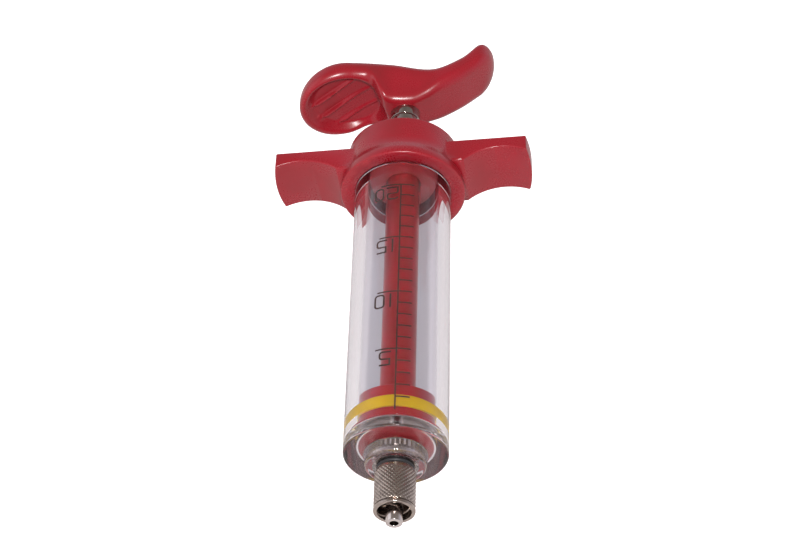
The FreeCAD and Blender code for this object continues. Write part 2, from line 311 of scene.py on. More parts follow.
def moulded_skin():
    """Skin of a moulding: faint flow clouds in the colour, fine pits, and a little handling haze."""
    tree, given, result = group("moulded_skin", [
        ("Colour", "NodeSocketColor", (0.5, 0.02, 0.03, 1)),
        ("Cloud colour", "NodeSocketColor", (0.4, 0.01, 0.02, 1)),
        ("Cloud size", "NodeSocketFloat", 0.012),
        ("Pit size", "NodeSocketFloat", 0.0005),
        ("Roughness", "NodeSocketFloat", 0.3),
        ("Haze", "NodeSocketFloat", 0.1),
    ], [("Colour", "NodeSocketColor"), ("Roughness", "NodeSocketFloat"), ("Height", "NodeSocketFloat")])
    place = laid_place(tree)
    clouds = noise(tree, place, given["Cloud size"], 3.0)
    pits = noise(tree, place, given["Pit size"], 2.0)
    share = ramp(tree, clouds, [(0.35, 0), (0.7, 1)])
    tree.links.new(blend_colours(tree, share, given["Colour"], given["Cloud colour"]), result["Colour"])
    uneven = spread_about(tree, clouds, given["Haze"], given["Roughness"])
    half_haze = maths(tree, "MULTIPLY", given["Haze"], 0.5)
    fine = maths(tree, "MULTIPLY", maths(tree, "SUBTRACT", pits, 0.5), half_haze)
    tree.links.new(maths(tree, "ADD", uneven, fine, clamp=True), result["Roughness"])
    tree.links.new(pits, result["Height"])
    return tree


def worn_edges():
    """Mask of the outer edges, where handling has rubbed the surface."""
    tree, given, result = group("worn_edges", [
        ("Start", "NodeSocketFloat", 0.52),
        ("Breadth", "NodeSocketFloat", 0.1),
        ("Break size", "NodeSocketFloat", 0.002),
    ], [("Mask", "NodeSocketFloat")])
    breaks = noise(tree, laid_place(tree), given["Break size"], 4.0)
    edge = add(tree, "ShaderNodeNewGeometry").outputs["Pointiness"]
    past_start = maths(tree, "SUBTRACT", edge, given["Start"])
    rising = maths(tree, "DIVIDE", past_start, given["Breadth"], clamp=True)
    broken = ramp(tree, breaks, [(0.35, 0.2), (0.65, 1)])
    tree.links.new(maths(tree, "MULTIPLY", rising, broken), result["Mask"])
    return tree


def lathe_marks():
    """Fine rings left by turning, round the syringe's axis, with cloudy tarnish."""
    tree, given, result = group("lathe_marks", [
        ("Ring spacing", "NodeSocketFloat", 0.00012),
        ("Tarnish size", "NodeSocketFloat", 0.002),
        ("Roughness", "NodeSocketFloat", 0.25),
        ("Spread", "NodeSocketFloat", 0.15),
    ], [("Height", "NodeSocketFloat"), ("Roughness", "NodeSocketFloat"), ("Tarnish", "NodeSocketFloat")])
    place = upright_place(tree)
    parts = split(tree, place)
    flat = combine(tree, parts["X"], parts["Y"])
    radius = add(tree, "ShaderNodeVectorMath", {0: flat}, operation="LENGTH").outputs["Value"]
    rings = noise(tree, combine(tree, radius, parts["Z"]), given["Ring spacing"], 2.0)
    tarnish = noise(tree, place, given["Tarnish size"], 5.0)
    tree.links.new(rings, result["Height"])
    spread = spread_about(tree, tarnish, given["Spread"], given["Roughness"])
    tree.links.new(maths(tree, "MAXIMUM", spread, 0.02), result["Roughness"])
    tree.links.new(ramp(tree, tarnish, [(0.4, 0), (0.72, 1)]), result["Tarnish"])
    return tree


SKIN = moulded_skin()
EDGES = worn_edges()
LATHE = lathe_marks()


def place_group(tree, source, **values):
    node = add(tree, "ShaderNodeGroup", node_tree=source)
    for label, value in values.items():
        node.inputs[label.replace("_", " ")].default_value = opaque(value)
    return node.outputs


def new_material(name):
    material = bpy.data.materials.new(name)
    material.use_nodes = True
    tree = material.node_tree
    tree.nodes.clear()
    shader = tree.nodes.new("ShaderNodeBsdfPrincipled")
    output = tree.nodes.new("ShaderNodeOutputMaterial")
    tree.links.new(shader.outputs["BSDF"], output.inputs["Surface"])
    return material, tree, shader.inputs


def bump(tree, height, strength, distance):
    return add(tree, "ShaderNodeBump", {
        "Height": height, "Strength": strength, "Distance": distance,
    }).outputs["Normal"]


def moulded(name, colour, cloud, roughness, haze, pit_size=0.0005, pit_depth=0.00002, rubbed=None):
    """Opaque moulded plastic or rubber."""
    material, tree, shader = new_material(name)
    skin = place_group(tree, SKIN, Colour=colour, Cloud_colour=cloud, Pit_size=pit_size,
                       Roughness=roughness, Haze=haze)
    surface = skin["Colour"]
    if rubbed:
        mask = place_group(tree, EDGES, Start=0.53, Breadth=0.12)["Mask"]
        surface = blend_colours(tree, mask, surface, rubbed)
    tree.links.new(surface, shader["Base Color"])
    tree.links.new(skin["Roughness"], shader["Roughness"])
    tree.links.new(bump(tree, skin["Height"], 0.6, pit_depth), shader["Normal"])
    shader["IOR"].default_value = 1.5
    return material


def turned_metal(name, colour, tarnish, roughness, spread, ring_depth=0.000004):
    """Plated or plain metal that was turned on a lathe."""
    material, tree, shader = new_material(name)
    marks = place_group(tree, LATHE, Roughness=roughness, Spread=spread)
    tree.links.new(blend_colours(tree, marks["Tarnish"], colour, tarnish), shader["Base Color"])
    tree.links.new(marks["Roughness"], shader["Roughness"])
    tree.links.new(bump(tree, marks["Height"], 0.5, ring_depth), shader["Normal"])
    shader["Metallic"].default_value = 1.0
    return material


def clear_plastic():
    """Polished clear plastic with a slight lavender grey cast; its faced front edge stays a little matt."""
    material, tree, shader = new_material("clear_barrel_plastic")
    skin = place_group(tree, SKIN, Colour=(0.89, 0.885, 0.925), Cloud_colour=(0.88, 0.865, 0.9),
                       Cloud_size=0.02, Pit_size=0.004, Roughness=0.012, Haze=0.02)
    tree.links.new(skin["Colour"], shader["Base Color"])
    height = split(tree, upright_place(tree))["Z"]
    faced = maths(tree, "LESS_THAN", maths(tree, "ABSOLUTE", height), 0.00002)
    matt = maths(tree, "MULTIPLY", faced, front_face_roughness)
    tree.links.new(maths(tree, "MAXIMUM", skin["Roughness"], matt), shader["Roughness"])
    tree.links.new(bump(tree, skin["Height"], 0.06, 0.00002), shader["Normal"])
    shader["IOR"].default_value = 1.49
    shader["Transmission Weight"].default_value = 1.0
    return material


RED = moulded("red_moulding", (0.31, 0.008, 0.018), (0.255, 0.009, 0.015), 0.28, 0.12,
              pit_depth=0.000008, rubbed=(0.44, 0.03, 0.04))
# Piston red: a lighter copy of the red moulding, brightened as painted light for the light that the clear
# barrel keeps from the piston
LIT_PISTON_RED = moulded("red_piston_moulding_painted_light", (0.5, 0.014, 0.022), (0.42, 0.012, 0.018), 0.3, 0.08)
# Bush red: a lighter, pinker copy of the red moulding, brightened as painted light for the shaded mouth of
# the cap
LIT_BUSH_RED = moulded("red_bush_moulding_painted_light", (0.55, 0.065, 0.07), (0.48, 0.055, 0.06), 0.35, 0.1)
# Ring yellow: the ring's own yellow, set brighter as painted light for the light that the clear barrel
# keeps from it
LIT_YELLOW = moulded("yellow_ring_rubber_painted_light", (0.95, 0.62, 0.012), (0.85, 0.52, 0.01), 0.42, 0.1)
BLACK = moulded("black_seal_rubber", (0.02, 0.02, 0.022), (0.035, 0.033, 0.033), 0.5, 0.15)
# Gasket: a pink part made nearly white as painted light, so that more light is piped down the clear wall to
# the barrel's front face
LIT_GASKET = moulded("pale_gasket_painted_light", (0.95, 0.6, 0.62), (0.88, 0.55, 0.57), 0.45, 0.1)
INK = moulded("scale_ink", (0.035, 0.014, 0.012), (0.06, 0.025, 0.02), 0.55, 0.15, pit_size=0.0002)
CLEAR = clear_plastic()
# Collar nickel: darkened below a nickel's own colour, as painted shade for the dark room that the knurl
# reflects
NICKEL = turned_metal("knurled_nickel_painted_shade", (0.42, 0.36, 0.32), (0.3, 0.25, 0.22), 0.2, 0.08,
                      ring_depth=0.000001)
BRIGHT_NICKEL = turned_metal("cone_nickel", (0.62, 0.57, 0.55), (0.5, 0.44, 0.42), 0.14, 0.08)
# Ferrule chrome: darkened below a chrome's own colour, as painted shade for the dark room that it reflects
DARKENED_CHROME = turned_metal("ferrule_chrome_painted_shade", (0.42, 0.38, 0.35), (0.32, 0.28, 0.26), 0.1, 0.05)
STEEL = turned_metal("drawn_steel", (0.5, 0.49, 0.48), (0.36, 0.34, 0.33), 0.3, 0.15)
BRASS = turned_metal("turned_brass", (0.62, 0.44, 0.18), (0.4, 0.26, 0.1), 0.28, 0.2)


# Pieces

def piece_from(mesh, name, body, material, node=None, sharp=32):
    """Lay a finished mesh as a piece of the syringe, in the place of its plain solid if it has one."""
    mesh.name = name
    mesh.transform(LAID)
    mesh.materials.clear()
    mesh.materials.append(material)
    mesh.shade_smooth()
    mesh.set_sharp_from_angle(angle=radians(sharp))
    piece = bpy.data.objects.new(name, mesh)
    bpy.context.scene.collection.objects.link(piece)
    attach(piece, body)
    if node:
        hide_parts(node)


def finished(shape, name):
    mesh = bpy.data.meshes.new(name)
    shape.to_mesh(mesh)
    shape.free()
    return mesh


def rounded(outline):
    """Points of a closed outline of (radius, height[, rounding]) corners, with arcs at the rounded ones."""
    points = []
    for index, corner in enumerate(outline):
        here = Vector(corner[:2])
        rounding = corner[2] if len(corner) > 2 else 0
        if not rounding:
            points.append(here)
            continue
        back = (Vector(outline[index - 1][:2]) - here).normalized()
        on = (Vector(outline[(index + 1) % len(outline)][:2]) - here).normalized()
        opening = back.angle(on)
        start = here + back * rounding / tan(opening / 2)
        end = here + on * rounding / tan(opening / 2)
        centre = here + (back + on).normalized() * rounding / sin(opening / 2)
        turn = (start - centre).angle_signed(end - centre)
        steps = max(2, ceil(abs(turn) / ROUND_STEP))
        for step in range(steps + 1):
            arm = (start - centre).copy()
            arm.rotate(Matrix.Rotation(-turn * step / steps, 2))
            points.append(centre + arm)
    return points


def turned(name, outline, body, material, node):
    """Closed piece: an outline of (radius, height[, rounding]) corners turned round the axis."""
    points = rounded(outline)
    shape = bmesh.new()
    rings = []
    for point in points:
        if point.x < 1e-6:
            rings.append([shape.verts.new((0, 0, point.y))])
            continue
        rings.append([
            shape.verts.new((point.x * cos(2 * pi * k / TURNS), point.x * sin(2 * pi * k / TURNS), point.y))
            for k in range(TURNS)
        ])
    for first, second in zip(rings, rings[1:] + rings[:1]):
        if len(first) == 1 and len(second) == 1:
            continue
        for k in range(TURNS):
            corners = [first[k % len(first)], first[(k + 1) % len(first)],
                       second[(k + 1) % len(second)], second[k % len(second)]]
            shape.faces.new(list(dict.fromkeys(corners)))
    bmesh.ops.recalc_face_normals(shape, faces=shape.faces)
    piece_from(finished(shape, name), name, body, material, node)


def plain_ring(name, size, edge, body, material, node):
    """Plain ring with rounded outer edges."""
    turned(name, [
        (size.hole, size.bottom),
        (size.radius, size.bottom, edge),
        (size.radius, size.top, edge),
        (size.hole, size.top),
    ], body, material, node)


def barrel():
    """Clear tube with its floor, its neck for the cap, and the boss moulded round the toothed insert."""
    cavity = spigot_radius + insert_cover
    neck_start = cap_size.bottom - 0.1
    turned("clear_barrel", [
        (passage_radius, insert_size.top - 0.3),
        (cavity, insert_size.top - 0.3),
        (cavity, -boss_length),
        (boss_end_radius, -boss_length, boss_edge_round),
        (boss_radius, 0, 0.25),
        (barrel_radius, 0, edge_round),
        (barrel_radius, neck_start),
        (neck_radius, neck_start),
        (neck_radius, barrel_size.top),
        (bore_radius, barrel_size.top),
        (bore_radius, floor_thickness, bore_edge_round),
        (passage_radius, floor_thickness),
    ], "barrel", CLEAR, "barrel")


def piston():
    """Stem with its disc, the seal ring and the front plate."""
    disc = stem_size.radius
    disc_top = ring_size.top + stem_disc_height
    turned("piston_stem", [
        (stem_bore_radius, ring_size.bottom),
        (ring_seat_radius, ring_size.bottom),
        (ring_seat_radius, ring_size.top),
        (disc, ring_size.top, 0.25),
        (disc, disc_top, 0.35),
        (stem_radius, disc_top, 0.3),
        (stem_radius, stem_size.top, 0.4),
        (stem_bore_radius, stem_size.top),
    ], "plunger", LIT_PISTON_RED, "plunger_stem")
    contact = bore_radius + ring_contact
    turned("yellow_piston_ring", [
        (ring_seat_radius, ring_size.bottom),
        (contact, ring_size.bottom, 0.12),
        (contact, ring_size.top, 0.12),
        (ring_seat_radius, ring_size.top),
    ], "plunger", LIT_YELLOW, "piston_ring")
    turned("piston_front_plate", [
        (0, plate_size.bottom),
        (disc, plate_size.bottom, 0.3),
        (disc, plate_size.top, 0.2),
        (plate_pocket_radius, plate_size.top),
        (plate_pocket_radius, plate_size.top - plate_pocket_depth),
        (0, plate_size.top - plate_pocket_depth),
    ], "plunger", LIT_PISTON_RED, "front_plate")
    plain_ring("stem_thrust_washer", washer_size, 0.1, "plunger", STEEL, "thrust_washer")


def cap_inside():
    """Guide bush and the flat gasket under its flange."""
    turned("stem_guide_bush", [
        (bush_size.hole, bush_size.bottom, 0.4),
        (bore_radius - bush_clearance, bush_size.bottom, 0.4),
        (bore_radius - bush_clearance, gasket_size.top),
        (bush_size.radius, gasket_size.top),
        (bush_size.radius, gasket_size.top + bush_flange_thickness),
        (bush_neck_radius, gasket_size.top + bush_flange_thickness),
        (bush_neck_radius, bush_size.top, 0.3),
        (bush_size.hole, bush_size.top, 0.3),
    ], "cap_seat", LIT_BUSH_RED, "guide_bush")
    plain_ring("flat_cap_gasket", gasket_size, 0.2, "cap_seat", LIT_GASKET, "cap_gasket")


def winged_cap():
    """Screw cap with its two finger wings, smooth between its edges."""
    shape = bmesh.new()
    shape.from_mesh(frame["nodes"]["grip_cap"].data)
    bmesh.ops.remove_doubles(shape, verts=shape.verts, dist=0.002 * MM)
    bmesh.ops.recalc_face_normals(shape, faces=shape.faces)
    bmesh.ops.transform(shape, matrix=UPRIGHT, verts=shape.verts)
    piece_from(finished(shape, "cap"), "winged_cap", "cap", RED, "grip_cap", sharp=28)


def nozzle():
    """Black seal ring, turned cone with its flange and spigot, and the knurled collar."""
    plain_ring("black_nozzle_seal", seal_size, 0.3, "nozzle_seat", BLACK, "nozzle_seal")
    flange_back = collar_size.top - collar_back_wall
    flange_front = flange_back - flange_thickness
    cone_base = cone_tip_radius + cone_taper * (flange_front - cone_size.bottom)
    turned("luer_nozzle_cone", [
        (cone_size.hole, cone_size.bottom, 0.15),
        (cone_tip_radius, cone_size.bottom, 0.25),
        (cone_base, flange_front),
        (flange_radius, flange_front),
        (flange_radius, flange_back),
        (spigot_radius, flange_back),
        (spigot_radius, cone_size.top, 0.3),
        (cone_size.hole, cone_size.top),
    ], "nozzle", BRIGHT_NICKEL, "luer_cone")
    groove_front = collar_size.bottom + collar_rim_length
    groove_back = groove_front + collar_groove_width
    neck = collar_size.radius - collar_groove_depth
    knurl_seat = collar_size.radius - knurl_seat_depth
    shoulder = collar_size.radius - 0.25
    turned("lock_collar_sleeve", [
        (spigot_radius + spigot_clearance, flange_back),
        (flange_radius + spigot_clearance, flange_back),
        (flange_radius + spigot_clearance, flange_front),
        (collar_mouth_radius, flange_front),
        (collar_mouth_radius, collar_size.bottom, 0.15),
        (collar_size.radius, collar_size.bottom, 0.25),
        (collar_size.radius, groove_front, 0.1),
        (neck, groove_front),
        (neck, groove_back),
        (knurl_seat, groove_back),
        (knurl_seat, collar_size.top - 1.3),
        (shoulder, collar_size.top - 1.15, 0.1),
        (shoulder, collar_size.top, 0.8),
        (spigot_radius + spigot_clearance, collar_size.top),
    ], "nozzle", NICKEL, "lock_collar")


def handle_and_ferrule():
    bead_edge = ferrule_size.radius - ferrule_bead_relief
    bead_top = ferrule_size.bottom + ferrule_bead_height
    turned("polished_ferrule", [
        (ferrule_size.hole, ferrule_size.bottom),
        (bead_edge, ferrule_size.bottom, 0.2),
        (bead_edge, bead_top),
        (ferrule_size.radius, bead_top + 0.2, 0.2),
        (ferrule_size.radius, ferrule_size.top),
        (ferrule_size.hole, ferrule_size.top),
    ], "handle", DARKENED_CHROME, "ferrule")
    palm_handle()


def smooth_line(points, place):
    """Height of a smooth line through (place, height) points."""
    index = 0
    while index < len(points) - 2 and place > points[index + 1][0]:
        index += 1
    (x0, y0), (x1, y1) = points[index], points[index + 1]

    def slope(at):
        before, after = points[max(at - 1, 0)], points[min(at + 1, len(points) - 1)]
        return (after[1] - before[1]) / (after[0] - before[0])

    run = x1 - x0
    t = min(max((place - x0) / run, 0), 1)
    return (
        (2 * t ** 3 - 3 * t ** 2 + 1) * y0 + (t ** 3 - 2 * t ** 2 + t) * run * slope(index)
        + (3 * t ** 2 - 2 * t ** 3) * y1 + (t ** 3 - t ** 2) * run * slope(index + 1)
    )


def soft_step(value):
    value = min(max(value, 0), 1)
    return value * value * (3 - 2 * value)


def handle_outline(spacing=0.4):
    """Even points round the handle as seen from above."""
    joint_angle = atan2((lobe_radius ** 2 - lobe_joint ** 2) ** 0.5, lobe_joint)
    side = []
    for step in range(60):
        angle = pi - (pi - joint_angle) * step / 60
        side.append(Vector((lobe_centre + lobe_radius * cos(angle), lobe_radius * sin(angle))))
    first, last = handle_side_line[0][0], handle_side_line[-1][0]
    for step in range(80):
        place = first + (last - first) * step / 80
        side.append(Vector((place, smooth_line(handle_side_line, place))))
    for step in range(31):
        angle = pi / 2 - pi / 2 * step / 30
        side.append(Vector((last + (arm_end - last) * cos(angle), handle_side_line[-1][1] * sin(angle))))
    loop = side + [Vector((point.x, -point.y)) for point in reversed(side[1:-1])]
    lengths = [(b - a).length for a, b in zip(loop, loop[1:] + loop[:1])]
    count = int(sum(lengths) / spacing)
    points = []
    index, walked = 0, 0.0
    for step in range(count):
        target = sum(lengths) * step / count
        while walked + lengths[index] < target:
            walked += lengths[index]
            index += 1
        share = (target - walked) / lengths[index]
        points.append(loop[index].lerp(loop[(index + 1) % len(loop)], share))
    return points


def under_height(place):
    """Height of the handle's under side with the finger recess and its ribs, at an (x, y) place."""
    plain = smooth_line(handle_under_line, place.x)
    offset = place - Vector(recess_middle)
    along = offset.x * cos(recess_turn) + offset.y * sin(recess_turn)
    across = offset.y * cos(recess_turn) - offset.x * sin(recess_turn)
    ring = hypot(along / recess_half_length, across / recess_half_breadth)
    inside = soft_step((1 - ring) * recess_half_breadth / recess_wall_width + 0.5)
    floor_height = smooth_line(recess_floor_line, place.x)
    rib_place = offset.y * cos(grip_rib_turn) - offset.x * sin(grip_rib_turn)
    nearest = grip_rib_spacing * min(max(round(rib_place / grip_rib_spacing), -1), 1)
    crest = soft_step(1 - abs(rib_place - nearest) / grip_rib_half_width)
    fade = 1 - 0.75 * soft_step((place.x + 22) / 12)
    floor_height -= grip_rib_height * crest * fade * soft_step((1 - ring) * 3)
    return plain + max(floor_height - plain, 0) * inside


def under_share(along):
    """How far the under side reaches out, compared with the plan: the waist narrows downwards."""
    return 1 - waist_taper * soft_step((along + 8) / 6) * soft_step((11 - along) / 8)


def palm_handle():
    """Handle as one smooth closed skin: two sheets over the plan, rounded into a wall between them."""
    rounding_steps = 6
    inner_rows = 30
    wall_rows = 3
    shape = bmesh.new()
    columns = []
    for edge in handle_outline():
        core = Vector((min(max(edge.x, lobe_centre), handle_side_line[-1][0] - 2.5), 0))
        reach = (edge - core).length
        rounding = min(smooth_line(handle_rounding, edge.x), 0.95 * reach)
        rows = []
        for row in range(inner_rows + 1):
            rows.append((row / inner_rows * (1 - rounding / reach), 0.0))
        for step in range(1, rounding_steps + 1):
            turn = pi / 2 * step / rounding_steps
            rows.append((1 - rounding * (1 - sin(turn)) / reach, rounding * (1 - cos(turn))))
        low, high = [], []
        for share, drop in rows:
            place = core.lerp(edge, share)
            low.append((place.x, place.y * under_share(place.x), under_height(place) + drop))
            high.append((place.x, place.y, smooth_line(handle_top_line, place.x) - drop))
        wall = [Vector(low[-1]).lerp(Vector(high[-1]), row / wall_rows) for row in range(1, wall_rows)]
        columns.append([shape.verts.new(point) for point in low + wall + high[::-1]])
    for first, second in zip(columns, columns[1:] + columns[:1]):
        for a, b, c, d in zip(first, first[1:], second[1:], second):
            shape.faces.new((a, b, c, d))
    bmesh.ops.remove_doubles(shape, verts=shape.verts, dist=0.01)
    bmesh.ops.dissolve_degenerate(shape, dist=0.001, edges=shape.edges)
    bmesh.ops.recalc_face_normals(shape, faces=shape.faces)
    skin = finished(shape, "handle")
    piece_from(skin, "palm_handle", "handle", RED, "handle", sharp=80)


# Marks, knurl, teeth and thread, each grown by a tree of nodes

def geometry_tree(name, inputs):
    """Empty tree with named number inputs and one geometry output."""
    tree = bpy.data.node_groups.new(name, "GeometryNodeTree")
    for label, kind, default in inputs:
        socket = tree.interface.new_socket(label, in_out="INPUT", socket_type=kind)
        socket.default_value = default
    tree.interface.new_socket("Geometry", in_out="OUTPUT", socket_type="NodeSocketGeometry")
    return tree, tree.nodes.new("NodeGroupInput").outputs, tree.nodes.new("NodeGroupOutput").inputs


def close_tree(tree, geometry, material, result):
    """Realize the instances, set the material and send the geometry out."""
    solid = add(tree, "GeometryNodeRealizeInstances", {"Geometry": geometry}).outputs[0]
    painted = add(tree, "GeometryNodeSetMaterial", {"Geometry": solid, "Material": material}).outputs[0]
    tree.links.new(painted, result["Geometry"])


def grown(tree, values):
    """Plain mesh that a tree makes with the given named input values."""
    holder = bpy.data.objects.new("holder", bpy.data.meshes.new("holder"))
    bpy.context.scene.collection.objects.link(holder)
    modifier = holder.modifiers.new("grow", "NODES")
    modifier.node_group = tree
    for item in tree.interface.items_tree:
        if item.in_out == "INPUT" and item.name in values:
            modifier[item.identifier] = values[item.name]
    evaluated = holder.evaluated_get(bpy.context.evaluated_depsgraph_get())
    mesh = bpy.data.meshes.new_from_object(evaluated)
    holder.modifiers.remove(modifier)
    bpy.data.objects.remove(holder)
    return mesh


def wrapped(tree, geometry, radius):
    """Wrap flat geometry round the axis: X becomes the arc, Y stands out from it."""
    place = split(tree, add(tree, "GeometryNodeInputPosition").outputs[0])
    angle = maths(tree, "DIVIDE", place["X"], radius)
    reach = maths(tree, "SUBTRACT", radius, place["Y"])
    bent = combine(
        tree,
        maths(tree, "MULTIPLY", reach, maths(tree, "SINE", angle)),
        maths(tree, "MULTIPLY", maths(tree, "MULTIPLY", reach, -1.0), maths(tree, "COSINE", angle)),
        place["Z"],
    )
    return add(tree, "GeometryNodeSetPosition", {"Geometry": geometry, "Position": bent}).outputs[0]


def scale_mark_tree():
    """Equal printed marks, one above the other, wrapped on the barrel."""
    tree, given, result = geometry_tree("scale_marks", [
        ("Count", "NodeSocketInt", 20),
        ("Spacing", "NodeSocketFloat", 3.565),
        ("First height", "NodeSocketFloat", 8.3),
        ("Left end", "NodeSocketFloat", 0.0),
        ("Right end", "NodeSocketFloat", 3.5),
        ("Stroke", "NodeSocketFloat", 0.42),
        ("Film", "NodeSocketFloat", 0.02),
        ("Radius", "NodeSocketFloat", 12.75),
    ])
    length = maths(tree, "SUBTRACT", given["Right end"], given["Left end"])
    middle = maths(tree, "MULTIPLY", maths(tree, "ADD", given["Right end"], given["Left end"]), 0.5)
    bar = add(tree, "GeometryNodeMeshCube", {
        "Size": combine(tree, length, given["Film"], given["Stroke"]),
        "Vertices X": 24,
    }).outputs["Mesh"]
    column = add(tree, "GeometryNodeMeshLine", {
        "Count": given["Count"],
        "Start Location": combine(tree, middle, 0.0, given["First height"]),
        "Offset": combine(tree, z=given["Spacing"]),
    }).outputs["Mesh"]
    marks = add(tree, "GeometryNodeInstanceOnPoints", {"Points": column, "Instance": bar}).outputs[0]
    flat = add(tree, "GeometryNodeRealizeInstances", {"Geometry": marks}).outputs[0]
    close_tree(tree, wrapped(tree, flat, given["Radius"]), INK, result)
    return tree


def digit_strokes(digit):
    """Centre line of a digit in a box one wide and one high, as (across, up) points."""
    def arc(centre, size, start, end, steps=4):
        return [
            (centre[0] + size[0] * cos(radians(start + (end - start) * k / steps)),
             centre[1] + size[1] * sin(radians(start + (end - start) * k / steps)))
            for k in range(steps + 1)
        ]
    return {
        "0": [
            arc((0.65, 0.8), (0.35, 0.2), 0, 90, 5) + arc((0.35, 0.8), (0.35, 0.2), 90, 180, 5)
            + arc((0.35, 0.2), (0.35, 0.2), 180, 270, 5) + arc((0.65, 0.2), (0.35, 0.2), 270, 360, 5)
            + [(1, 0.8)]
        ],
        "1": [[(0.5, 1), (0.5, 0)]],
        "2": [
            [(0, 0.86)] + arc((0.28, 0.86), (0.28, 0.14), 180, 90)
            + arc((0.72, 0.82), (0.28, 0.18), 90, 0) + arc((0.72, 0.66), (0.28, 0.14), 0, -90)
            + arc((0.28, 0.38), (0.28, 0.14), 90, 180) + [(0, 0), (1, 0)]
        ],
        "5": [
            [(0.95, 1), (0.04, 1), (0.04, 0.56)] + arc((0.7, 0.38), (0.3, 0.18), 90, 0)
            + arc((0.7, 0.18), (0.3, 0.18), 0, -90) + [(0, 0)]
        ],
    }[digit]


def ribbon(shape, line, half, film):
    """Closed flat strip of even width along a line of (across, up) points, in the XZ plane."""
    line = [Vector(point) for point in line]
    sides = []
    for index, point in enumerate(line):
        back = (point - line[max(index - 1, 0)])
        on = (line[min(index + 1, len(line) - 1)] - point)
        back = back.normalized() if back.length else on.normalized()
        on = on.normalized() if on.length else back
        mitre = Vector((-(back + on).y, (back + on).x)).normalized()
        normal = Vector((-on.y, on.x))
        reach = min(half / max(mitre.dot(normal), 0.3), 2 * half)
        end = on * half * ((index == len(line) - 1) - (index == 0))
        sides.append((point + mitre * reach + end, point - mitre * reach + end))
    rows = []
    for left, right in sides:
        rows.append([shape.verts.new((p.x, depth, p.y)) for depth in (0, -film) for p in (left, right)])
    for first, second in zip(rows, rows[1:]):
        for a, b in ((0, 1), (1, 3), (3, 2), (2, 0)):
            shape.faces.new((first[a], first[b], second[b], second[a]))
    for row in (rows[0], rows[-1]):
        shape.faces.new((row[0], row[1], row[3], row[2]))


def scale_digits():
    """Numbers at 20, 15, 10 and 5, left of the scale's line, upright when the nozzle points up."""
    shape = bmesh.new()
    for value, digits in scale_numbers.items():
        height = plate_size.bottom + value * scale_step - digit_drop
        for digit, near, far in digits:
            for line in digit_strokes(digit):
                points = [(-near - (far - near) * u, height - digit_height * v) for u, v in line]
                ribbon(shape, points, digit_width / 2, print_depth)
    return shape


def wrap_on_barrel(shape):
    """Bend flat print round the barrel, from the place of the scale's line."""
    radius = barrel_radius + print_rise
    for vertex in shape.verts:
        angle = scale_turn + vertex.co.x / radius
        reach = radius - vertex.co.y
        vertex.co = Vector((reach * cos(angle), reach * sin(angle), vertex.co.z))


def printed_scale():
    """Line, marks and numbers of the scale, one film of ink on the barrel."""
    tree = scale_mark_tree()
    radius = barrel_radius + print_rise
    line_low = plate_size.bottom - line_overrun
    line_length = scale_millilitres * scale_step + 2 * line_overrun
    rows = [
        (scale_millilitres, scale_step, plate_size.bottom + scale_step, short_mark, mark_width),
        (scale_millilitres // 5, 5 * scale_step, plate_size.bottom + 5 * scale_step, long_mark, mark_width),
        (1, 1.0, line_low + line_length / 2, (-mark_width / 2, mark_width / 2), line_length),
    ]
    shape = bmesh.new()
    for count, spacing, first, (left, right), stroke in rows:
        shape.from_mesh(grown(tree, {
            "Count": count, "Spacing": spacing, "First height": first, "Left end": left, "Right end": right,
            "Stroke": stroke, "Film": print_depth, "Radius": radius,
        }))
    turn = Matrix.Rotation(scale_turn + pi / 2, 4, "Z")
    bmesh.ops.transform(shape, matrix=turn, verts=shape.verts)
    digits = scale_digits()
    wrap_on_barrel(digits)
    bmesh.ops.recalc_face_normals(digits, faces=digits.faces)
    shape.from_mesh(finished(digits, "digits"))
    piece_from(finished(shape, "printed_scale"), "printed_scale", "barrel", INK)


